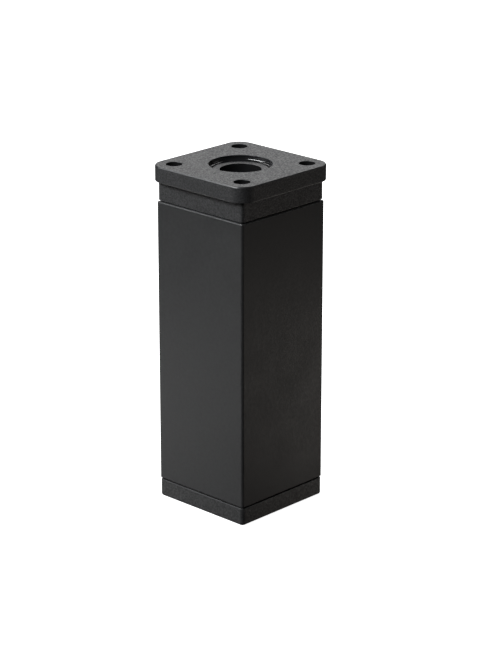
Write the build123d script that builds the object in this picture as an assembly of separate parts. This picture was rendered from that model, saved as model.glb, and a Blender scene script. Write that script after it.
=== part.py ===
from build123d import *

# Square furniture leg with a screw-on mounting plate and a foot whose height is set
# from above. It stands on its foot, with its centre line on Z and the floor at zero.
# All sizes are in millimetres.

# The leg as a whole
leg_width = 50.0
leg_height = 150.0

# Square tube, an extrusion cut to length
tube_wall = 2.0
tube_corner_radius = 1.0
tube_inner_radius = 0.5
tube_end_chamfer = 0.25

# Mounting plate, one moulding: flange, neck and a hollow plug inside the tube
flange_overhang = 2.5
flange_thickness = 7.0
flange_corner_radius = 7.2
flange_top_break = 0.5
flange_bottom_break = 0.3
neck_inset = 0.3
neck_height = 8.6
neck_corner_radius = 1.4
plate_gap = 0.4
seat_inset = 0.9
plug_length = 24.0
plug_clearance = 0.3
plug_wall = 2.5
plug_lead = 1.0
plate_rib_thickness = 2.0
plate_rib_setback = 2.0

# Screw holes through the corners of the plate
screw_hole_inset = 7.8
screw_hole_diameter = 7.0
screw_relief_radius = 5.6

# Round recess and the bore that lets the setting key through
recess_diameter = 27.0
recess_depth = 2.4
recess_cove = 0.65
ledge_thickness = 2.2
bore_diameter = 17.6
bore_wall = 2.5
bore_boss_length = 24.0

# Crush ribs that hold the plug and the nut carrier tight in the tube
crush_rib_width = 1.6
crush_rib_spacing = 16.0
crush_rib_setback = 3.0

# Foot, one moulding: a cap as wide as the tube with a square stem above it
foot_height = 8.0
foot_gap = 0.4
foot_bottom_break = 0.6
foot_top_break = 0.25
foot_lip = 0.8
foot_web = 3.2
foot_rim_width = 3.0
foot_cavity_radius = 2.0
foot_rib_thickness = 1.8
foot_rib_setback = 0.6
foot_ring_wall = 2.0
stem_wall = 2.2
stem_corner_radius = 1.2
stem_clearance = 0.3
stem_engagement = 11.0
stem_headroom = 1.2
stem_lead = 0.8
foot_travel = 15.0

# Nut carrier, a moulded sleeve pressed into the lower end of the tube
carrier_rim_thickness = 1.6
carrier_rim_clearance = 0.25
carrier_wall = 2.0
carrier_web = 4.0
nut_seat_thickness = 3.5
nut_boss_wall = 2.6
nut_pocket_clearance = 0.05
spindle_passage_clearance = 0.5
gusset_thickness = 2.0
gusset_reach = 6.0

# Hexagon nut
nut_width = 16.0
nut_height = 8.4
nut_corner_chamfer = 0.9

# Spindle, with a hexagon socket in its top end and a journal that carries the foot
thread_diameter = 10.0
thread_running_gap = 0.05
thread_end_chamfer = 1.0
spindle_top_margin = 1.0
socket_width = 5.0
socket_depth = 6.0
socket_lead = 0.5
collar_diameter = 14.0
collar_thickness = 2.5
journal_diameter = 8.0
journal_clearance = 0.08
journal_end_length = 1.0
journal_end_chamfer = 0.4
axial_play = 0.05

# Thrust washer under the collar
washer_diameter = 16.0
washer_thickness = 1.0

# Retaining clip, an open spring ring in the groove below the foot's web
clip_diameter = 12.0
clip_thickness = 0.7
clip_groove_diameter = 6.0
clip_groove_play = 0.05
clip_grip_gap = 0.03
clip_mouth_width = 4.6
clip_notch_radius = 1.1
clip_notch_angle = 55.0

# Widths across the flats, worked out from the sizes above
tube_inner_width = leg_width - 2 * tube_wall
flange_width = leg_width + 2 * flange_overhang
neck_width = leg_width - 2 * neck_inset
seat_width = leg_width - 2 * seat_inset
plug_width = tube_inner_width - 2 * plug_clearance
screw_spacing = flange_width - 2 * screw_hole_inset
foot_nest_width = leg_width - 2 * foot_lip
carrier_rim_width = foot_nest_width - 2 * carrier_rim_clearance
carrier_width = tube_inner_width - 2 * plug_clearance
sleeve_inner_width = carrier_width - 2 * carrier_wall
stem_width = sleeve_inner_width - 2 * stem_clearance
nut_pocket_width = nut_width + 2 * nut_pocket_clearance
nut_boss_diameter = nut_pocket_width * 2 / 3**0.5 + 2 * nut_boss_wall
bore_boss_diameter = bore_diameter + 2 * bore_wall

# Levels above the floor, from the top of the leg down to the tube
flange_bottom = leg_height - flange_thickness
neck_bottom = flange_bottom - neck_height
tube_top = neck_bottom - plate_gap
plug_bottom = tube_top - plug_length
deck_bottom = leg_height - recess_depth - ledge_thickness
bore_boss_bottom = leg_height - bore_boss_length

# Levels above the floor, from the foot up to the top of the spindle
tube_bottom = foot_height + foot_gap
nest_floor = tube_bottom - carrier_rim_thickness
foot_web_bottom = nest_floor - foot_web
stem_top = nest_floor + foot_travel + stem_engagement
carrier_web_bottom = stem_top + stem_headroom
carrier_web_top = carrier_web_bottom + carrier_web
nut_top = carrier_web_bottom + nut_height
nut_boss_top = nut_top + nut_seat_thickness
washer_top = nest_floor + washer_thickness
collar_bottom = washer_top + axial_play
collar_top = collar_bottom + collar_thickness
spindle_top = nut_boss_top + foot_travel + spindle_top_margin
clip_top = foot_web_bottom - axial_play
clip_bottom = clip_top - clip_thickness
groove_bottom = clip_bottom - clip_groove_play
journal_bottom = groove_bottom - journal_end_length

# How far a piece reaches into its neighbour before the two are joined into one moulding
merge = 0.5


def square_block(width, bottom, top, corner_radius=0.0):
    """Upright square block on the centre line, with rounded corners if a radius is given."""
    outline = Rectangle(width, width)
    if corner_radius > 0:
        outline = RectangleRounded(width, width, corner_radius)
    return Pos(0, 0, bottom) * extrude(outline, amount=top - bottom)


def round_block(diameter, bottom, top):
    """Upright cylinder on the centre line."""
    return Pos(0, 0, bottom) * extrude(Circle(diameter / 2), amount=top - bottom)


def hexagon_block(width, bottom, top):
    """Upright hexagon on the centre line, measured across its flats."""
    outline = RegularPolygon(width / 2, 6, major_radius=False)
    return Pos(0, 0, bottom) * extrude(outline, amount=top - bottom)


def cross_ribs(length, thickness, bottom, top):
    """Two upright webs that cross on the centre line."""
    web = Pos(0, 0, bottom) * extrude(Rectangle(length, thickness), amount=top - bottom)
    return web + Rot(0, 0, 90) * web


def crush_ribs(width, bottom, top):
    """Two low ribs on each side of a square plug, with crests that meet the tube's inside."""
    crest = tube_inner_width / 2
    root = width / 2 - merge
    outline = Sketch()
    for turn in range(4):
        for side in (-1, 1):
            rib = Pos((root + crest) / 2, side * crush_rib_spacing / 2) * Rectangle(crest - root, crush_rib_width)
            outline += Rot(0, 0, turn * 90) * rib
    return Pos(0, 0, bottom) * extrude(outline, amount=top - bottom)


def screw_points():
    """Centres of the four screw holes."""
    half = screw_spacing / 2
    return [(half, half), (-half, half), (-half, -half), (half, -half)]


def plug_outline(inset):
    """Square with a round bite at each corner, which keeps clear of the screws."""
    outline = Rectangle(plug_width - 2 * inset, plug_width - 2 * inset)
    for x, y in screw_points():
        outline -= Pos(x, y) * Circle(screw_relief_radius + inset)
    return outline


def make_mounting_plate():
    """Flange, neck and hollow ribbed plug, with a boss round the key's bore."""
    flange = square_block(flange_width, flange_bottom, leg_height, flange_corner_radius)
    flange = chamfer(flange.edges().group_by(Axis.Z)[-1], flange_top_break)
    flange = chamfer(flange.edges().group_by(Axis.Z)[0], flange_bottom_break)
    neck = square_block(neck_width, neck_bottom, flange_bottom + merge, neck_corner_radius)
    seat = square_block(seat_width, tube_top, neck_bottom + merge, neck_corner_radius)
    plug = Pos(0, 0, plug_bottom) * extrude(plug_outline(0), amount=tube_top + merge - plug_bottom)
    plug = chamfer(plug.edges().group_by(Axis.Z)[0], plug_lead)
    plate = flange + neck + seat + plug
    plate += crush_ribs(plug_width, plug_bottom + crush_rib_setback, tube_top + merge)
    plate -= Pos(0, 0, plug_bottom) * extrude(plug_outline(plug_wall), amount=deck_bottom - plug_bottom)
    plate += round_block(bore_boss_diameter, bore_boss_bottom, deck_bottom + merge)
    plate += cross_ribs(
        plug_width - plug_wall, plate_rib_thickness, plug_bottom + plate_rib_setback, deck_bottom + merge
    )
    plate -= round_block(bore_diameter, plug_bottom, leg_height)
    recess = round_block(recess_diameter, leg_height - recess_depth, leg_height)
    recess = chamfer(recess.edges().group_by(Axis.Z)[0], recess_cove)
    plate -= recess
    screw_hole = round_block(screw_hole_diameter, tube_top, leg_height)
    for x, y in screw_points():
        plate -= Pos(x, y) * screw_hole
    return plate


def make_tube():
    """Length of square extrusion with its outer end edges broken."""
    tube = square_block(leg_width, tube_bottom, tube_top, tube_corner_radius)
    tube = chamfer(tube.edges().group_by(Axis.Z)[0] + tube.edges().group_by(Axis.Z)[-1], tube_end_chamfer)
    return tube - square_block(tube_inner_width, tube_bottom, tube_top, tube_inner_radius)


def make_nut_carrier():
    """Sleeve that guides the foot's stem, with a boss for the nut and a rim under the tube."""
    carrier = square_block(carrier_rim_width, nest_floor, tube_bottom, tube_inner_radius)
    carrier += square_block(carrier_width, nest_floor, carrier_web_top, tube_inner_radius)
    carrier += crush_ribs(carrier_width, tube_bottom - merge, carrier_web_top - crush_rib_setback)
    carrier -= square_block(sleeve_inner_width, nest_floor, carrier_web_bottom, tube_inner_radius)
    carrier += round_block(nut_boss_diameter, carrier_web_bottom, nut_boss_top)
    carrier += nut_gussets()
    carrier -= hexagon_block(nut_pocket_width, carrier_web_bottom, nut_top)
    passage_diameter = thread_diameter + 2 * spindle_passage_clearance
    return carrier - round_block(passage_diameter, nut_top, nut_boss_top)


def nut_gussets():
    """Four sloping webs that brace the nut boss on the carrier's web."""
    boss_radius = nut_boss_diameter / 2
    slope = Polyline(
        (0, carrier_web_top - merge),
        (boss_radius + gusset_reach, carrier_web_top - merge),
        (boss_radius + gusset_reach, carrier_web_top),
        (boss_radius, nut_boss_top),
        (0, nut_boss_top),
        close=True,
    )
    web = extrude(Plane.XZ * make_face(slope), amount=gusset_thickness / 2, both=True)
    gussets = web
    for turn in range(1, 4):
        gussets += Rot(0, 0, turn * 90) * web
    return gussets


def make_spindle_nut():
    """Hexagon nut with its corners turned off, seated against the top of its pocket."""
    corner_diameter = nut_width * 2 / 3**0.5
    turned = round_block(corner_diameter, carrier_web_bottom, nut_top)
    turned = chamfer(turned.edges().filter_by(GeomType.CIRCLE), nut_corner_chamfer)
    nut = hexagon_block(nut_width, carrier_web_bottom, nut_top) & turned
    return nut - round_block(thread_diameter + 2 * thread_running_gap, carrier_web_bottom, nut_top)


def make_spindle():
    """Turned profile of the spindle, revolved, with the key's socket cut into its top."""
    thread = thread_diameter / 2
    journal = journal_diameter / 2
    groove = clip_groove_diameter / 2
    profile = Polyline(
        (0, journal_bottom),
        (journal - journal_end_chamfer, journal_bottom),
        (journal, journal_bottom + journal_end_chamfer),
        (journal, groove_bottom),
        (groove, groove_bottom),
        (groove, clip_top + clip_groove_play),
        (journal, clip_top + clip_groove_play),
        (journal, collar_bottom),
        (collar_diameter / 2, collar_bottom),
        (collar_diameter / 2, collar_top),
        (thread, collar_top),
        (thread, spindle_top - thread_end_chamfer),
        (thread - thread_end_chamfer, spindle_top),
        (0, spindle_top),
        close=True,
    )
    spindle = revolve(Plane.XZ * make_face(profile), Axis.Z)
    socket = hexagon_block(socket_width, spindle_top - socket_depth, spindle_top)
    lead = Cone(
        socket_width / 2, socket_width / 2 + socket_lead, socket_lead, align=(Align.CENTER, Align.CENTER, Align.MAX)
    )
    return spindle - socket - Pos(0, 0, spindle_top) * lead


def make_thrust_washer():
    """Flat ring between the foot's web and the spindle's collar."""
    hole_diameter = journal_diameter + 2 * journal_clearance
    return round_block(washer_diameter, nest_floor, washer_top) - round_block(hole_diameter, nest_floor, washer_top)


def make_retaining_clip():
    """Open ring with three inner prongs, snapped sideways into the spindle's groove."""
    grip_radius = clip_groove_diameter / 2 + clip_grip_gap
    outline = Circle(clip_diameter / 2) - Circle(grip_radius)
    outline -= Pos(0, clip_diameter / 2) * Rectangle(clip_mouth_width, clip_diameter)
    for side in (-1, 1):
        outline -= Rot(0, 0, side * clip_notch_angle) * Pos(0, -grip_radius) * Circle(clip_notch_radius)
    return Pos(0, 0, clip_bottom) * extrude(outline, amount=clip_thickness)


def make_foot():
    """Square cap, hollow underneath and ribbed, with the stem that slides in the carrier."""
    foot = square_block(leg_width, 0, foot_height, tube_corner_radius)
    foot = chamfer(foot.edges().group_by(Axis.Z)[0], foot_bottom_break)
    foot = chamfer(foot.edges().group_by(Axis.Z)[-1], foot_top_break)
    foot -= square_block(foot_nest_width, nest_floor, foot_height, tube_inner_radius)
    cavity_width = leg_width - 2 * foot_rim_width
    foot -= square_block(cavity_width, 0, foot_web_bottom, foot_cavity_radius)
    ring_inner = clip_diameter + 2 * foot_ring_wall
    ring_outer = ring_inner + 2 * foot_ring_wall
    foot += cross_ribs(cavity_width + merge, foot_rib_thickness, foot_rib_setback, foot_web_bottom + merge)
    foot += round_block(ring_outer, foot_rib_setback, foot_web_bottom + merge)
    foot -= round_block(ring_inner, foot_rib_setback, foot_web_bottom)
    stem = square_block(stem_width, nest_floor - merge, stem_top, stem_corner_radius)
    stem = chamfer(stem.edges().group_by(Axis.Z)[-1], stem_lead)
    foot += stem
    foot -= square_block(stem_width - 2 * stem_wall, nest_floor, stem_top)
    hole_diameter = journal_diameter + 2 * journal_clearance
    return foot - round_block(hole_diameter, foot_web_bottom, nest_floor)


pieces = {
    "mounting_plate": make_mounting_plate,
    "tube": make_tube,
    "nut_carrier": make_nut_carrier,
    "spindle_nut": make_spindle_nut,
    "spindle": make_spindle,
    "thrust_washer": make_thrust_washer,
    "retaining_clip": make_retaining_clip,
    "foot": make_foot,
}

for name, make in pieces.items():
    export_step(make(), f"parts/{name}.step")
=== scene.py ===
import math

import bmesh
import bpy
import numpy as np
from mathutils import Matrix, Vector
from mathutils.geometry import delaunay_2d_cdt


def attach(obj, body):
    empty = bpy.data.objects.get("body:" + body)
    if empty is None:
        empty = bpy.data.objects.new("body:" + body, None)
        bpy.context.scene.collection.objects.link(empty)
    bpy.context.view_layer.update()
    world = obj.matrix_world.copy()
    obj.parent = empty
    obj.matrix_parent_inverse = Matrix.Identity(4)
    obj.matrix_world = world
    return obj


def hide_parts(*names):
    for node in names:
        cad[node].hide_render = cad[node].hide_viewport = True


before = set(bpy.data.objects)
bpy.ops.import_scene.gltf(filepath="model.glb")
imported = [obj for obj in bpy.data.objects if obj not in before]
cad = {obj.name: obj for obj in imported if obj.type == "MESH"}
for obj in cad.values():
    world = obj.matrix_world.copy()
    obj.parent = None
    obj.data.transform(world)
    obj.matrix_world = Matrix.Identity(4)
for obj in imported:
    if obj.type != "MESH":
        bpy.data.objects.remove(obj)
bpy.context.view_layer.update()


# Mounting plate: one moulding of dark, glass-filled plastic. Flange, neck and plug are a
# single skin, carried round the leg ring by ring; the flat faces between the rings are
# filled, and the webs and crush ribs stand inside it. Sizes in millimetres and degrees.
plate_top = 150.0
flange_half = 27.5
flange_corner = 7.2
flange_foot = 143.0
flange_top_round = 0.3
flange_facet = 0.45
flange_facet_foot_round = 0.15
flange_foot_round = 0.35
facet_lean = 27
neck_half = 24.7
neck_corner = 1.4
neck_foot = 134.5
neck_top_cove = 0.25
neck_foot_round = 0.08
seat_half = 24.1
seat_level = 133.75
plug_half = 22.7
plug_foot = 110.0
plug_lead = 1.0
plug_wall = 2.5
bite_radius = 5.6
deck_level = 145.4
boss_radius = 11.3
boss_foot = 126.0
bore_radius = 8.8
bore_mouth_round = 0.15
ledge_level = 147.6
recess_radius = 13.5
recess_cove = 1.1
recess_mouth_round = 0.2
# Width of the ledge next to the recess wall that takes the darker polished finish: painted shade near the
# wall.
painted_shade_band = 0.5
hole_radius = 3.5
hole_offset = 19.7
hole_mouth_round = 0.2
web_half = 1.0
web_start = 9.0
web_foot = 112.0
web_root = 0.2
crush_crest = 23.0
crush_half = 0.8
crush_place = 8.0
crush_foot = 113.0
crush_side_root = 0.3
crush_head_root = 0.05
flat_strip = 0.06
corner_points = 20


def arc(inset, height, radius, start, stop, steps):
    """Part of a circle in a section: (inset, height) + radius (cos t, sin t), with t from start to stop."""
    turn = np.radians(np.linspace(start, stop, steps))
    return np.stack([inset + radius * np.cos(turn), height + radius * np.sin(turn)], axis=1)


def leaning_edge(half, top, upper, facet, lower):
    """Section of a top edge: an arc down from the flat top, a steep facet and an arc into the upright side.

    The facet leans in from upright by facet_lean, and both arcs meet it at that angle. upper and lower are
    the arcs' radii, and facet is its length.
    """
    lean = np.radians(facet_lean)
    low = arc(half - lower, 0.0, lower, facet_lean, 0, steps=4)
    high = arc(0.0, 0.0, upper, 90, facet_lean, steps=6)
    high += low[0] + [-facet * np.sin(lean), facet * np.cos(lean)] - high[-1]
    edge = np.concatenate([high, low])
    edge[:, 1] += top - edge[0, 1]
    return np.concatenate([edge[:1] - [[flat_strip, 0]], edge, edge[-1:] - [[0, flat_strip]]])


def quarter_turns(quarter, height):
    """Closed outline at one height: a quarter of it, (x, y), and its turns by one, two and three quarters."""
    x, y = quarter.T
    plan = np.concatenate([quarter, np.stack([-y, x], 1), -quarter, np.stack([y, -x], 1)])
    return np.column_stack([plan, np.full(len(plan), height)])


def square_ring(half, corner, height):
    """Square outline with a quarter circle at each corner, and a point more on the flat at each end of it."""
    turn = np.linspace(0, np.pi / 2, corner_points)
    bend = half - corner + corner * np.stack([np.cos(turn), np.sin(turn)], axis=1)
    short = half - corner - 2 * flat_strip
    return quarter_turns(np.concatenate([[[half, short]], bend, [[short, half]]]), height)


def square_rings(section, half, corner):
    """One square ring for each (half width, height) of a section. Its corner grows with its half width."""
    return [square_ring(h, corner - (half - h), z) for h, z in section]


def round_ring(radius, height, middle=(0.0, 0.0)):
    """Circle about a point, with as many points as a square ring: middle plus radius times (cos t, sin t)."""
    count = corner_points + 2
    turn = (np.arange(count) + 0.5) / count * np.pi / 2
    ring = quarter_turns(radius * np.stack([np.cos(turn), np.sin(turn)], axis=1), height)
    return ring + [middle[0], middle[1], 0.0]


def plug_ring(inset, height):
    """Square outline whose corners are bitten off by circles about the screw holes."""
    bite = bite_radius + inset
    reach = np.arccos((plug_half - inset - hole_offset) / bite)
    turn = np.linspace(-reach, reach - 1.5 * np.pi, corner_points + 2)
    return quarter_turns(hole_offset + bite * np.stack([np.cos(turn), np.sin(turn)], axis=1), height)


def skin(rings):
    """Surface through rings: point j of a ring joins point j of the next, and the last joins the first."""
    count = len(rings[0])
    i, j = np.meshgrid(np.arange(len(rings) - 1) * count, np.arange(count), indexing="ij")
    k = (j + 1) % count
    faces = np.stack([i + j, i + k, i + count + k, i + count + j], axis=-1).reshape(-1, 4)
    return np.concatenate(rings), faces.tolist()


def flat_face(outlines, kept):
    """Flat face between closed outlines at one height: triangles between their points, where kept(x, y)."""
    points = np.concatenate(outlines)
    edges, first = [], 0
    for outline in outlines:
        place = np.arange(len(outline))
        edges.append(np.stack([first + place, first + (place + 1) % len(outline)], axis=1))
        first += len(outline)
    plan_points = [Vector(point) for point in points[:, :2]]
    made = delaunay_2d_cdt(plan_points, np.concatenate(edges).tolist(), [], 0, 1e-6)
    plan, triangles = np.array([v[:] for v in made[0]]), np.array(made[2])
    triangles = triangles[kept(*plan[triangles].mean(axis=1).T)]
    return np.column_stack([plan, np.full(len(plan), points[0, 2])]), triangles.tolist()


def outside_circle(x, y, radius, middle, runs):
    """True where (x, y) is outside a circle drawn with so many straight runs.

    A run's middle lies radius times half of (pi / runs) squared inside the circle. The limit is half as
    much further in.
    """
    sag = 0.5 * (np.pi / runs) ** 2
    return np.hypot(x - middle[0], y - middle[1]) > radius * (1 - 1.5 * sag)


def block(low, high):
    """Closed block between two corners: its points are low + (high - low) times (0 or 1, 0 or 1, 0 or 1)."""
    low, high = np.array(low, float), np.array(high, float)
    steps = np.stack(np.meshgrid([0, 1], [0, 1], [0, 1], indexing="ij"), axis=-1).reshape(-1, 3)
    faces = [[0, 1, 3, 2], [4, 6, 7, 5], [0, 4, 5, 1], [2, 3, 7, 6], [0, 2, 6, 4], [1, 5, 7, 3]]
    return low + (high - low) * steps, faces


def turned(part, quarters):
    """The same part turned by so many right angles about the leg's middle."""
    points, faces = part
    c, s = np.cos(quarters * np.pi / 2), np.sin(quarters * np.pi / 2)
    return points @ np.array([[c, s, 0], [-s, c, 0], [0, 0, 1]]), faces


hole_middles = [(hole_offset * x, hole_offset * y) for x, y in ((1, 1), (-1, 1), (-1, -1), (1, -1))]
flange_section = np.concatenate([
    leaning_edge(flange_half, plate_top, flange_top_round, flange_facet, flange_facet_foot_round),
    [[flange_half, flange_foot + flange_foot_round + flat_strip]],
    arc(flange_half - flange_foot_round, flange_foot + flange_foot_round, flange_foot_round, 0, -90, steps=6),
    [[flange_half - flange_foot_round - flat_strip, flange_foot]],
])
neck_section = np.concatenate([
    [[neck_half + neck_top_cove + flat_strip, flange_foot]],
    arc(neck_half + neck_top_cove, flange_foot - neck_top_cove, neck_top_cove, 90, 180, steps=4),
    [[neck_half, flange_foot - neck_top_cove - flat_strip]],
    [[neck_half, neck_foot + neck_foot_round + flat_strip]],
    arc(neck_half - neck_foot_round, neck_foot + neck_foot_round, neck_foot_round, 0, -90, steps=5),
    [[neck_half - neck_foot_round - flat_strip, neck_foot]],
])
seat_section = [[seat_half, neck_foot], [seat_half, seat_level]]
outer_rings = square_rings(flange_section, flange_half, flange_corner)
outer_rings += square_rings(neck_section, neck_half, neck_corner)
outer_rings += square_rings(seat_section, seat_half, neck_corner)

cove_start = recess_radius - recess_cove
mouth_rim = recess_radius + recess_mouth_round
recess_section = np.concatenate([
    [[boss_radius, deck_level], [boss_radius, boss_foot], [bore_radius, boss_foot]],
    [[bore_radius, ledge_level - bore_mouth_round - flat_strip]],
    arc(bore_radius + bore_mouth_round, ledge_level - bore_mouth_round, bore_mouth_round, 180, 90, steps=5),
    [[bore_radius + bore_mouth_round + flat_strip, ledge_level]],
    [[cove_start - painted_shade_band, ledge_level], [cove_start - flat_strip, ledge_level]],
    arc(cove_start, ledge_level + recess_cove, recess_cove, -90, 0, steps=12),
    [[recess_radius, ledge_level + recess_cove + flat_strip]],
    [[recess_radius, plate_top - recess_mouth_round - flat_strip]],
    arc(mouth_rim, plate_top - recess_mouth_round, recess_mouth_round, 180, 90, steps=5),
    [[mouth_rim + flat_strip, plate_top]],
])
inner_rings = [plug_ring(0, seat_level), plug_ring(0, plug_foot + plug_lead), plug_ring(plug_lead, plug_foot)]
inner_rings += [plug_ring(plug_wall, plug_foot), plug_ring(plug_wall, deck_level)]
inner_rings += [round_ring(radius, height) for radius, height in recess_section]
hole_section = np.concatenate([
    [[hole_radius + hole_mouth_round + flat_strip, plate_top]],
    arc(hole_radius + hole_mouth_round, plate_top - hole_mouth_round, hole_mouth_round, 90, 180, steps=5),
    [[hole_radius, plate_top - hole_mouth_round - flat_strip], [hole_radius, seat_level]],
])
hole_rings = [[round_ring(r, height, middle) for r, height in hole_section] for middle in hole_middles]
ring_runs = len(outer_rings[0])
bite_runs = ring_runs / 3


def on_top(x, y):
    """Top of the flange: outside the recess and the four screw holes."""
    kept = outside_circle(x, y, mouth_rim + flat_strip, (0, 0), ring_runs)
    for middle in hole_middles:
        kept &= outside_circle(x, y, hole_section[0, 0], middle, ring_runs)
    return kept


def on_seat(x, y):
    """Underside of the seat: outside the plug, bites taken as open, and outside the four screw holes."""
    open_bites = np.zeros(len(x), bool)
    clear = np.ones(len(x), bool)
    for middle in hole_middles:
        open_bites |= ~outside_circle(x, y, bite_radius, middle, bite_runs)
        clear &= outside_circle(x, y, hole_radius, middle, ring_runs)
    return (open_bites | (np.maximum(abs(x), abs(y)) > plug_half)) & clear


plate_parts = [skin(outer_rings), skin(inner_rings)] + [skin(rings) for rings in hole_rings]
top_outlines = [outer_rings[0], inner_rings[-1]] + [rings[0] for rings in hole_rings]
seat_outlines = [outer_rings[-1], inner_rings[0]] + [rings[-1] for rings in hole_rings]
plate_parts += [flat_face(top_outlines, on_top), flat_face(seat_outlines, on_seat)]
web = block((web_start, -web_half, web_foot), (plug_half - plug_wall / 2, web_half, deck_level + web_root))
for quarters in range(4):
    plate_parts.append(turned(web, quarters))
    for side in (-crush_place, crush_place):
        crush_rib = block(
            (plug_half - crush_side_root, side - crush_half, crush_foot),
            (crush_crest, side + crush_half, seat_level + crush_head_root),
        )
        plate_parts.append(turned(crush_rib, quarters))


def make_piece(name, parts, finish, body, stands_for):
    """Joins parts given in millimetres into one mesh in metres, with its finish, body, slot and node."""
    metres_a_millimetre = 0.001
    merge_distance = 0.000004
    sharp_above = math.radians(35)
    points, faces, first = [], [], 0
    for part_points, part_faces in parts:
        points.append(part_points * metres_a_millimetre)
        faces += [[first + corner for corner in face] for face in part_faces]
        first += len(part_points)
    mesh = bpy.data.meshes.new(name)
    mesh.from_pydata(np.concatenate(points), [], faces)
    work = bmesh.new()
    work.from_mesh(mesh)
    bmesh.ops.remove_doubles(work, verts=work.verts, dist=merge_distance)
    bmesh.ops.recalc_face_normals(work, faces=work.faces)
    work.to_mesh(mesh)
    work.free()
    mesh.shade_smooth()
    mesh.set_sharp_from_angle(angle=sharp_above)
    mesh.materials.append(finish)
    piece = bpy.data.objects.new(name, mesh)
    bpy.context.scene.collection.objects.link(piece)
    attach(piece, body)
    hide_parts(stands_for)
    return piece


def face_places(piece):
    """Middle of every face in millimetres, and which faces make an edge: those neither upright nor flat."""
    nearly_upright, nearly_flat = 0.05, 0.98
    faces = piece.data.polygons
    middles, normals = np.empty(3 * len(faces)), np.empty(3 * len(faces))
    faces.foreach_get("center", middles)
    faces.foreach_get("normal", normals)
    lean = abs(normals.reshape(-1, 3)[:, 2])
    return middles.reshape(-1, 3).T * 1000.0, (lean > nearly_upright) & (lean < nearly_flat)


def set_finishes(piece, numbers):
    """Gives every face the finish of that number, counted from the piece's own first finish."""
    piece.data.polygons.foreach_set("material_index", numbers.astype(np.int32))


def new_finish(name):
    """Empty material: returns it with its shader and the object coordinates that its patterns follow."""
    material = bpy.data.materials.new(name)
    material.use_nodes = True
    shader = material.node_tree.nodes["Principled BSDF"]
    place = material.node_tree.nodes.new("ShaderNodeTexCoord").outputs["Object"]
    return material, shader, place


def feed(material, target, source):
    """Gives an input socket its source: a link from another socket, or else the plain value."""
    if isinstance(source, bpy.types.NodeSocket):
        material.node_tree.links.new(source, target)
    else:
        target.default_value = source


def add_node(material, kind, sources, result, **settings):
    """Adds a shader node with its settings, feeds its inputs by name or number, and returns one output."""
    node = material.node_tree.nodes.new(kind)
    for setting, value in settings.items():
        setattr(node, setting, value)
    for key, source in sources.items():
        feed(material, node.inputs[key], source)
    return node.outputs[result]


def noise(material, place, scale, detail, roughness):
    """Smooth noise from 0 to 1, with about so many lumps to the metre and finer layers on top of them."""
    sources = {"Vector": place, "Scale": scale, "Detail": detail, "Roughness": roughness}
    return add_node(material, "ShaderNodeTexNoise", sources, "Fac")


def mapped(material, source, low, high, new_low, new_high):
    """Straight line from (low, new_low) to (high, new_high), held level beyond its ends."""
    sources = {"Value": source, "From Min": low, "From Max": high, "To Min": new_low, "To Max": new_high}
    return add_node(material, "ShaderNodeMapRange", sources, "Result")


def mixed(material, share, first, second):
    """Two values by a share: first times (1 - share) plus second times share."""
    return add_node(material, "ShaderNodeMix", {0: share, 2: first, 3: second}, 0)


def mixed_colours(material, share, first, second):
    """Two colours by a share, as mixed does two values. The second is a plain (red, green, blue)."""
    return add_node(material, "ShaderNodeMix", {0: share, 6: first, 7: (*second, 1.0)}, 2, data_type="RGBA")


def toned(material, source, dark, light, dark_end, light_end):
    """Colour that goes from dark to light as the source goes from dark_end to light_end."""
    node = material.node_tree.nodes.new("ShaderNodeValToRGB")
    for number, colour, position in ((0, dark, dark_end), (1, light, light_end)):
        node.color_ramp.elements[number].position = position
        node.color_ramp.elements[number].color = (*colour, 1.0)
    feed(material, node.inputs["Fac"], source)
    return node.outputs["Color"]


def softened_edges(material, shader, relief, depth, radius):
    """Bumps the shader by a height field, over normals rounded at the edges. Returns the rounded normal."""
    rounded = add_node(material, "ShaderNodeBevel", {"Radius": radius}, "Normal", samples=6)
    bumps = {"Strength": 1.0, "Distance": depth, "Height": relief, "Normal": rounded}
    feed(material, shader.inputs["Normal"], add_node(material, "ShaderNodeBump", bumps, "Normal"))
    return rounded


def edge_wear_and_highlight(material, rounded):
    """Mask of the edges, lightened for rub wear and as a painted highlight: 0 on a flat face, 1 where the
    rounded normal leans from the true one.
    """
    flat_likeness, edge_likeness = 0.995, 0.9
    true = add_node(material, "ShaderNodeNewGeometry", {}, "Normal")
    both = {0: rounded, 1: true}
    likeness = add_node(material, "ShaderNodeVectorMath", both, "Value", operation="DOT_PRODUCT")
    return mapped(material, likeness, flat_likeness, edge_likeness, new_low=0.0, new_high=1.0)


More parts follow.
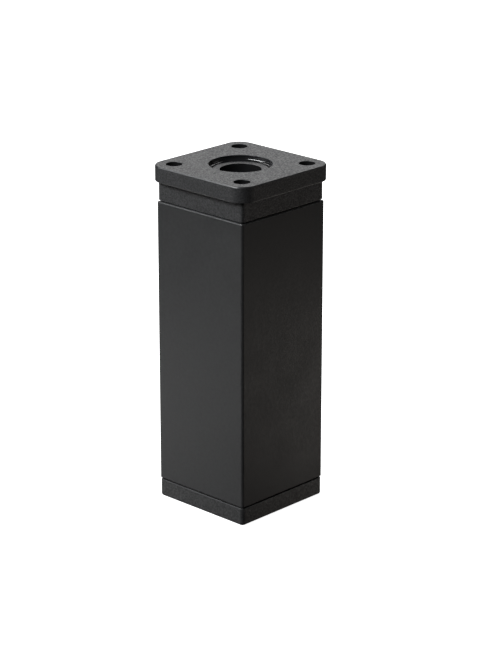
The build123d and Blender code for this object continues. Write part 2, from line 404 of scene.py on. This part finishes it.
def moulded_plastic(name, dark, light, worn_and_highlight, grain_mm, grain_depth, roughness, shine):
    """Plastic with the fine grain of its mould, and edges that are smooth and lighter, partly rub wear and
    partly a painted highlight.

    Noise gives one tone for colour, gloss and relief: lighter grains are smoother and stand higher. The
    tone is drawn towards its middle on faces that don't look up, because a mould's sides have less grain.
    """
    cloud_share = 0.12
    middle_tone, side_grain = 0.5, 0.6
    edge_radius, edge_polish = 0.0002, 0.6
    material, shader, place = new_finish(name)
    shader.inputs["Specular IOR Level"].default_value = shine
    grain = noise(material, place, scale=1000.0 / grain_mm, detail=1.5, roughness=0.5)
    cloud = noise(material, place, scale=90.0, detail=4.0, roughness=0.55)
    both = mixed(material, cloud_share, grain, cloud)
    normal = add_node(material, "ShaderNodeNewGeometry", {}, "Normal")
    level = add_node(material, "ShaderNodeSeparateXYZ", {"Vector": normal}, "Z")
    grain_share = mapped(material, level, low=0.0, high=1.0, new_low=side_grain, new_high=1.0)
    tone = mixed(material, grain_share, middle_tone, both)
    colour = toned(material, tone, dark, light, dark_end=0.37, light_end=0.63)
    mask = edge_wear_and_highlight(material, softened_edges(material, shader, tone, grain_depth, edge_radius))
    # The edge mask mixes in the lighter colour: partly rub wear, partly a painted highlight.
    feed(material, shader.inputs["Base Color"], mixed_colours(material, mask, colour, worn_and_highlight))
    rough = mapped(material, tone, low=0.35, high=0.65, new_low=roughness[1], new_high=roughness[0])
    feed(material, shader.inputs["Roughness"], mixed(material, mask, rough, edge_polish * roughness[0]))
    return material


plate_finish = moulded_plastic(
    "plate_plastic_finish",
    dark=(0.017, 0.0172, 0.0178), light=(0.051, 0.0514, 0.0526), worn_and_highlight=(0.07, 0.0705, 0.072),
    grain_mm=0.72, grain_depth=0.0005, roughness=(0.33, 0.67), shine=0.43,
)
# Glossy finish for the recess, the bore, the screw holes and the gap under the neck. Its colour, darker than
# the plate's, is painted shade in these hollows and in the gap.
polished_shaded_finish = moulded_plastic(
    "polished_painted_shade_finish",
    dark=(0.010, 0.0102, 0.0106), light=(0.014, 0.0142, 0.0148), worn_and_highlight=(0.02, 0.02, 0.021),
    grain_mm=2.5, grain_depth=0.00001, roughness=(0.1, 0.14), shine=1.0,
)
rounded_finish = moulded_plastic(
    "rounded_edge_finish",
    dark=(0.022, 0.0224, 0.0232), light=(0.034, 0.0344, 0.0355), worn_and_highlight=(0.05, 0.0505, 0.0515),
    grain_mm=2.0, grain_depth=0.00002, roughness=(0.3, 0.38), shine=0.6,
)
plate = make_piece(
    "mounting_plate_moulding", plate_parts, plate_finish, "leg", "mounting_plate"
)
plate.data.materials.append(polished_shaded_finish)
plate.data.materials.append(rounded_finish)

# The darker polished finish goes on several places: the recess, with a band of ledge next to its wall, and
# the bore, the screw holes and the gap under the neck. The gloss there is real, and the dark colour is
# painted shade. Other edge faces take the rounded finish.
level_slack, radius_slack = 0.01, 0.02
(x, y, z), on_edge = face_places(plate)
from_middle = np.hypot(x, y)
in_recess = (from_middle < recess_radius) & (from_middle > cove_start - painted_shade_band)
in_recess &= z > ledge_level - level_slack
in_bore = (from_middle < bore_radius + radius_slack) & (z < ledge_level - bore_mouth_round)
in_hole = np.hypot(abs(x) - hole_offset, abs(y) - hole_offset) < hole_radius + radius_slack
in_gap = (z < neck_foot + level_slack) & (np.maximum(abs(x), abs(y)) > plug_half)
polished_and_shaded = (in_recess | in_bore | in_hole) & (z < plate_top - hole_mouth_round) | in_gap
set_finishes(plate, polished_and_shaded + 2 * (on_edge & ~polished_and_shaded))


# Tube: a square aluminium extrusion, cut to length, its end edges broken, and coated with
# a fine matt powder that is baked on. It is pressed over the plate's plug. Sizes in mm.
tube_half = 25.0
tube_corner = 1.0
tube_foot = 8.45
tube_head = seat_level
tube_foot_break = 0.08
tube_head_facet = 0.24
tube_head_round = 0.06
tube_hollow_half = crush_crest
tube_hollow_corner = 0.5
tube_head_section = leaning_edge(tube_half, tube_head, tube_head_round, tube_head_facet, tube_head_round)
tube_foot_section = [[tube_half, tube_foot + tube_foot_break], [tube_half - tube_foot_break, tube_foot]]
tube_hollow_section = [[tube_hollow_half, tube_foot], [tube_hollow_half, tube_head]]
tube_rings = square_rings(np.concatenate([tube_head_section, tube_foot_section]), tube_half, tube_corner)
tube_rings += square_rings(tube_hollow_section, tube_hollow_half, tube_hollow_corner)
tube_rings.append(tube_rings[0])


def powder_coat(name, dark, light, worn_and_highlight, peel_mm, peel_depth, roughness, shine):
    """Baked powder: a shallow orange peel under slow clouds of colour and gloss, and edges lighter as rub
    wear and as a painted highlight.
    """
    cloud_share = 0.5
    edge_radius, edge_polish = 0.00008, 0.6
    material, shader, place = new_finish(name)
    shader.inputs["Specular IOR Level"].default_value = shine
    peel = noise(material, place, scale=1000.0 / peel_mm, detail=2.0, roughness=0.5)
    cloud = noise(material, place, scale=45.0, detail=5.0, roughness=0.6)
    tone = mixed(material, cloud_share, peel, cloud)
    colour = toned(material, tone, dark, light, dark_end=0.35, light_end=0.65)
    mask = edge_wear_and_highlight(material, softened_edges(material, shader, peel, peel_depth, edge_radius))
    # The edge mask mixes in the lighter colour: partly rub wear, partly a painted highlight.
    feed(material, shader.inputs["Base Color"], mixed_colours(material, mask, colour, worn_and_highlight))
    rough = mapped(material, tone, low=0.35, high=0.65, new_low=roughness[0], new_high=roughness[1])
    feed(material, shader.inputs["Roughness"], mixed(material, mask, rough, edge_polish * roughness[0]))
    return material


tube_finish = powder_coat(
    "tube_coat_finish",
    dark=(0.027, 0.0272, 0.0278), light=(0.037, 0.0373, 0.038), worn_and_highlight=(0.05, 0.0505, 0.0515),
    peel_mm=1.4, peel_depth=0.00002, roughness=(0.42, 0.52), shine=0.3,
)
# Glossier finish for the tube's broken edges. Its colour, a little lighter than the coat's, is a painted
# highlight along them.
tube_edge_finish = powder_coat(
    "tube_edge_finish",
    dark=(0.03, 0.0302, 0.0308), light=(0.042, 0.0423, 0.043), worn_and_highlight=(0.05, 0.0505, 0.0515),
    peel_mm=1.4, peel_depth=0.00001, roughness=(0.24, 0.32), shine=0.6,
)
tube = make_piece("tube_extrusion", [skin(tube_rings)], tube_finish, "leg", "tube")
tube.data.materials.append(tube_edge_finish)
(x, y, z), on_edge = face_places(tube)
set_finishes(tube, on_edge)


# Nut carrier: a sleeve moulded in the same dark plastic as the plate, pressed into the
# lower end of the tube. It holds the nut and guides the foot's stem; its mould was polished.
def dress(node, finish):
    """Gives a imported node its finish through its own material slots."""
    for place in node.material_slots:
        place.material = finish


carrier_finish = moulded_plastic(
    "nut_carrier_finish",
    dark=(0.016, 0.0162, 0.0166), light=(0.042, 0.0423, 0.043), worn_and_highlight=(0.06, 0.0603, 0.061),
    grain_mm=1.0, grain_depth=0.00006, roughness=(0.34, 0.5), shine=0.45,
)
dress(cad["nut_carrier"], carrier_finish)


# Spindle: an M10 screw turned from steel bar and zinc plated, with a 5 mm hexagon socket in
# its top for the setting key. Below the collar a plain journal carries the foot. Sizes in mm.
journal_foot = 1.8
journal_radius = 4.0
journal_break = 0.4
groove_foot = 2.8
groove_head = 3.6
groove_radius = 3.0
collar_foot = 7.85
collar_head = 10.35
collar_radius = 7.0
collar_break = 0.2
neck_radius = 4.05
thread_foot = 11.4
thread_pitch = 1.5
thread_depth = 0.92
crest_radius = 5.0
crest_flat = 0.19
flank_slope = 1.732
spindle_head = 61.9
head_radius = 4.0
socket_foot = 55.9
socket_flat = 2.5
socket_lead = 0.5
rows_each_pitch = 16
lead_rows = 6
screw_points = 48
turns = np.arange(screw_points) / screw_points * 2 * np.pi


def thread_radius(height):
    """Right-hand screw: the crest's radius less the drop of its flank at this height and turn.

    The drop grows with the distance from the nearest crest, by height / pitch less the share of a turn.
    """
    away = np.abs((height / thread_pitch - turns / (2 * np.pi)) % 1.0 - 0.5) * thread_pitch
    return crest_radius - np.clip(flank_slope * (away - crest_flat / 2), 0.0, thread_depth)


def hexagon(flat):
    """Radius of a hexagon at each turn: half its width over the cosine of the angle from a flat's middle."""
    return flat / np.cos(turns % (np.pi / 3) - np.pi / 6)


def lathe(radii, heights):
    """One ring for each row: (radius cos t, radius sin t, height)."""
    radii = np.broadcast_to(radii, (len(heights), screw_points))
    heights = np.broadcast_to(np.reshape(heights, (-1, 1)), radii.shape)
    return list(np.stack([radii * np.cos(turns), radii * np.sin(turns), heights], axis=-1))


def plain(section):
    """Round rings for the (radius, height) points of a section."""
    section = np.array(section, float)
    return lathe(section[:, :1], section[:, 1])


row_count = int((spindle_head - thread_foot) / thread_pitch * rows_each_pitch)
screw_heights = np.linspace(thread_foot, spindle_head, row_count)
screw_rows = screw_heights.reshape(-1, 1)
screw_radii = np.minimum(thread_radius(screw_rows), head_radius + spindle_head - screw_rows)
screw_radii = np.minimum(screw_radii, neck_radius + screw_rows - thread_foot)
lead_heights = np.linspace(spindle_head, spindle_head - socket_lead, lead_rows)
lead_round = socket_flat + socket_lead + lead_heights.reshape(-1, 1) - spindle_head
lead_radii = np.maximum(hexagon(socket_flat), lead_round)
spindle_rings = plain([
    (0.0, journal_foot),
    (journal_radius - journal_break, journal_foot), (journal_radius, journal_foot + journal_break),
    (journal_radius, groove_foot), (groove_radius, groove_foot),
    (groove_radius, groove_head), (journal_radius, groove_head),
    (journal_radius, collar_foot), (collar_radius - collar_break, collar_foot),
    (collar_radius, collar_foot + collar_break), (collar_radius, collar_head - collar_break),
    (collar_radius - collar_break, collar_head), (neck_radius, collar_head),
])
spindle_rings += lathe(screw_radii, screw_heights) + lathe(lead_radii, lead_heights)
spindle_rings += lathe(hexagon(socket_flat), [socket_foot]) + plain([(0.0, socket_foot)])


def bare_metal(name, dark, light, rubbed_bright, roughness, streak):
    """Metal with the marks of its making: stretched noise sets gloss and relief, and plain noise colour."""
    mark_depth, edge_radius = 0.00001, 0.0001
    material, shader, place = new_finish(name)
    shader.inputs["Metallic"].default_value = 1.0
    stretched = add_node(material, "ShaderNodeMapping", {"Vector": place, "Scale": streak}, "Vector")
    marks = noise(material, stretched, scale=300.0, detail=5.0, roughness=0.65)
    bloom = noise(material, place, scale=220.0, detail=3.0, roughness=0.5)
    colour = toned(material, bloom, dark, light, dark_end=0.35, light_end=0.65)
    mask = edge_wear_and_highlight(material, softened_edges(material, shader, marks, mark_depth, edge_radius))
    feed(material, shader.inputs["Base Color"], mixed_colours(material, mask, colour, rubbed_bright))
    rough = mapped(material, marks, low=0.3, high=0.7, new_low=roughness[0], new_high=roughness[1])
    feed(material, shader.inputs["Roughness"], rough)
    return material


zinc_finish = bare_metal(
    "zinc_plate_finish",
    dark=(0.52, 0.54, 0.58), light=(0.68, 0.67, 0.64), rubbed_bright=(0.78, 0.78, 0.78),
    roughness=(0.24, 0.4), streak=(1.0, 1.0, 9.0),
)
make_piece("spindle_screw", [skin(spindle_rings)], zinc_finish, "spindle", "spindle")


# Spindle nut: an M10 hexagon nut, zinc plated, seated in a pocket of the carrier. Its thread
# follows the spindle's with a little running room. Sizes in mm.
nut_foot = 34.0
nut_head = 42.4
nut_flat = 8.0
nut_break = 0.9
nut_bore = 4.25
mouth_radius = 5.05
thread_room = 0.06
chamfer_rows = 6
bore_rows = 91
nut_corner = nut_flat / np.cos(np.pi / 6)
chamfer = np.linspace(0.0, nut_break, chamfer_rows)
side_heights = np.concatenate([nut_foot + chamfer, nut_head - chamfer[::-1]])
from_end = np.minimum(side_heights - nut_foot, nut_head - side_heights).reshape(-1, 1)
side_radii = np.minimum(hexagon(nut_flat), nut_corner - nut_break + from_end)
bore_heights = np.linspace(nut_head, nut_foot, bore_rows).reshape(-1, 1)
mouths = mouth_radius - np.minimum(nut_head - bore_heights, bore_heights - nut_foot)
bore_radii = np.maximum(np.maximum(thread_radius(bore_heights) + thread_room, nut_bore), mouths)
nut_rings = lathe(side_radii, side_heights) + lathe(bore_radii, bore_heights)
nut_rings.append(nut_rings[0])
make_piece("spindle_nut_hexagon", [skin(nut_rings)], zinc_finish, "leg", "spindle_nut")


# Thrust washer: punched from natural nylon sheet, loose on the journal between the foot's
# web and the spindle's collar.
washer_finish = moulded_plastic(
    "washer_nylon_finish",
    dark=(0.66, 0.63, 0.55), light=(0.8, 0.78, 0.72), worn_and_highlight=(0.85, 0.84, 0.8),
    grain_mm=0.8, grain_depth=0.00003, roughness=(0.35, 0.5), shine=0.5,
)
dress(cad["thrust_washer"], washer_finish)


# Retaining clip: an open ring stamped from spring strip and phosphated dark, snapped into
# the journal's groove under the foot's web.
clip_finish = bare_metal(
    "clip_spring_finish",
    dark=(0.2, 0.21, 0.23), light=(0.36, 0.37, 0.39), rubbed_bright=(0.5, 0.5, 0.5),
    roughness=(0.32, 0.48), streak=(6.0, 1.0, 1.0),
)
dress(cad["retaining_clip"], clip_finish)


# Foot: one moulding of the same plastic, a square cap as wide as the tube, ribbed below, with
# a stem that slides in the carrier. Its rim takes the load and is scuffed by the floor; its lighter
# edges are partly that scuffing and partly a painted highlight. In mm.
foot_half = tube_half
foot_corner = 1.6
foot_head = 7.75
foot_rim_round = 0.9
lip_facet = 0.24
lip_round = 0.06
nest_half = 24.2
nest_corner = 0.8
nest_level = 6.8
hollow_half = 22.0
hollow_corner = 2.0
foot_web_level = 3.6
stem_half = 20.4
stem_corner = 1.2
stem_head = 32.8
stem_break = 0.8
stem_hollow_half = 18.2
stem_hollow_corner = 0.2
journal_hole = 4.08
boss_ring_outer = 10.0
boss_ring_inner = 8.0
foot_rib_half = 0.9
foot_rib_foot = 0.6
foot_rib_start = 9.0
foot_rib_rim_root = 0.1
foot_web_root = 0.05
cap_section = np.concatenate([
    leaning_edge(foot_half, foot_head, lip_round, lip_facet, lip_round),
    [[foot_half, foot_rim_round + flat_strip]],
    arc(foot_half - foot_rim_round, foot_rim_round, foot_rim_round, 0, -90, steps=8),
    [[foot_half - foot_rim_round - flat_strip, 0.0]],
])
hollow_section = [[hollow_half, 0.0], [hollow_half, foot_web_level]]
stem_inside = [[stem_hollow_half, nest_level], [stem_hollow_half, stem_head]]
stem_outside = [[stem_half - stem_break, stem_head], [stem_half, stem_head - stem_break]]
stem_outside += [[stem_half, nest_level]]
nest_section = [[nest_half, nest_level], [nest_half, foot_head]]
foot_rings = square_rings(cap_section, foot_half, foot_corner)
foot_rings += square_rings(hollow_section, hollow_half, hollow_corner)
foot_rings += [round_ring(journal_hole, foot_web_level), round_ring(journal_hole, nest_level)]
foot_rings += square_rings(stem_inside, stem_hollow_half, stem_hollow_corner)
foot_rings += square_rings(stem_outside, stem_half, stem_corner)
foot_rings += square_rings(nest_section, nest_half, nest_corner)
foot_rings.append(foot_rings[0])

under_head = foot_web_level + foot_web_root
boss_ring_section = [
    (boss_ring_outer, under_head), (boss_ring_outer, foot_rib_foot), (boss_ring_inner, foot_rib_foot),
    (boss_ring_inner, under_head), (boss_ring_outer, under_head),
]
foot_parts = [skin(foot_rings), skin([round_ring(radius, height) for radius, height in boss_ring_section])]
foot_rib = block(
    (foot_rib_start, -foot_rib_half, foot_rib_foot),
    (hollow_half + foot_rib_rim_root, foot_rib_half, under_head),
)
foot_parts += [turned(foot_rib, quarters) for quarters in range(4)]
foot_finish = moulded_plastic(
    "foot_plastic_finish",
    dark=(0.02, 0.0202, 0.0206), light=(0.048, 0.0484, 0.0492), worn_and_highlight=(0.085, 0.0855, 0.086),
    grain_mm=0.9, grain_depth=0.0003, roughness=(0.38, 0.62), shine=0.36,
)
foot = make_piece("foot_moulding", foot_parts, foot_finish, "foot", "foot")
foot.data.materials.append(rounded_finish)
(x, y, z), on_edge = face_places(foot)
set_finishes(foot, on_edge & (z > nest_level) & (z < foot_head))


# Studio: a plain white table, a hair below the foot so that the two never share a surface. It
# glows evenly and is seen only by the camera. It rides on the foot, so the leg stands on it at
# every height. Soft boxes stand round it.
floor_reach = 5.0
floor_level = -0.0001
floor_glow = 0.97
floor_plan = [(-floor_reach, -floor_reach), (floor_reach, -floor_reach)]
floor_plan += [(floor_reach, floor_reach), (-floor_reach, floor_reach)]
floor_mesh = bpy.data.meshes.new("floor")
floor_mesh.from_pydata([(x, y, floor_level) for x, y in floor_plan], [], [(0, 1, 2, 3)])
floor = bpy.data.objects.new("floor", floor_mesh)
bpy.context.scene.collection.objects.link(floor)
floor_finish = bpy.data.materials.new("floor_finish")
floor_finish.use_nodes = True
floor_shader = floor_finish.node_tree.nodes["Principled BSDF"]
floor_shader.inputs["Base Color"].default_value = (0.85, 0.85, 0.85, 1)
floor_shader.inputs["Roughness"].default_value = 0.9
floor_shader.inputs["Emission Color"].default_value = (1, 1, 1, 1)
floor_shader.inputs["Emission Strength"].default_value = floor_glow
floor_mesh.materials.append(floor_finish)
floor.visible_glossy = False
floor.visible_diffuse = False
floor.visible_shadow = False
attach(floor, "foot")


def softbox(name, place, aim, size, power, colour):
    """Rectangular soft light at a place, turned to face a point. The camera doesn't see it."""
    lamp = bpy.data.lights.new(name, "AREA")
    lamp.shape = "RECTANGLE"
    lamp.size, lamp.size_y = size
    lamp.energy = power
    lamp.color = colour
    box = bpy.data.objects.new(name, lamp)
    bpy.context.scene.collection.objects.link(box)
    box.location = place
    box.rotation_euler = (Vector(aim) - Vector(place)).to_track_quat("-Z", "Y").to_euler()
    box.visible_camera = False


leg_middle = (0, 0, 0.08)
white, cool = (1.0, 1.0, 1.0), (0.96, 0.98, 1.0)
faint_warm, slight_warm, warm = (1.0, 0.985, 0.97), (1.0, 0.97, 0.95), (1.0, 0.94, 0.88)
reflector = (0.18, 0.1)
left_foot, right_foot, right_head = (0, -0.02, 0.03), (0.02, 0, 0.03), (0.02, 0, 0.1)
# The back pair lights the flange's top, the streak strip is mirrored in the recess, the rim
# panel brightens the flange's rim, and the reflectors lift the two sides that the camera sees.
softbox("back_panel", (-0.6, 0.62, 1.0), leg_middle, size=(1.2, 0.6), power=10.2, colour=white)
softbox("back_strip", (-0.82, 0.85, 0.55), leg_middle, size=(1.4, 0.5), power=1.5, colour=white)
softbox("streak_strip", (-0.31, -0.95, 0.92), leg_middle, size=(1.2, 0.22), power=18.3, colour=cool)
softbox("rim_panel", (-0.958, -0.833, 0.567), leg_middle, size=(0.35, 0.35), power=1.5, colour=cool)
softbox("left_reflector", (-0.27, -0.2, -0.08), left_foot, reflector, power=0.16, colour=faint_warm)
softbox("right_reflector_high", (0.2, 0.27, 0.17), right_head, reflector, power=0.045, colour=slight_warm)
softbox("right_reflector", (0.2, 0.27, -0.07), right_foot, reflector, power=0.115, colour=warm)

world_glow = 0.02
world = bpy.data.worlds.new("studio")
bpy.context.scene.world = world
world.use_nodes = True
world.node_tree.nodes["Background"].inputs["Color"].default_value = (1.0, 1.0, 1.0, 1)
world.node_tree.nodes["Background"].inputs["Strength"].default_value = world_glow


# Camera: a long lens at the photograph's viewing angle, at a distance from the leg's middle. It
# looks a little to one side of it, because the leg stands a little off the picture's middle.
# Angles in degrees, places in metres.
camera_yaw, camera_pitch = 43.948, 19.41
look_yaw, look_pitch = 43.773, 19.40
camera_distance = 1.071654
middle_height = 0.075


def outward(yaw, pitch):
    """Direction out from the leg: (sin yaw cos pitch, -cos yaw cos pitch, sin pitch)."""
    yaw, pitch = math.radians(yaw), math.radians(pitch)
    return np.array([math.sin(yaw) * math.cos(pitch), -math.cos(yaw) * math.cos(pitch), math.sin(pitch)])


camera_data = bpy.data.cameras.new("camera")
camera_data.lens = 135.569
camera_data.sensor_width = 36.0
camera_data.clip_end = 20.0
camera = bpy.data.objects.new("camera", camera_data)
bpy.context.scene.collection.objects.link(camera)
camera.location = camera_distance * outward(camera_yaw, camera_pitch) + [0, 0, middle_height]
camera.rotation_mode = "QUATERNION"
camera.rotation_quaternion = Vector(-outward(look_yaw, look_pitch)).to_track_quat("-Z", "Y")
bpy.context.scene.camera = camera
bpy.context.scene.view_settings.view_transform = "Standard"
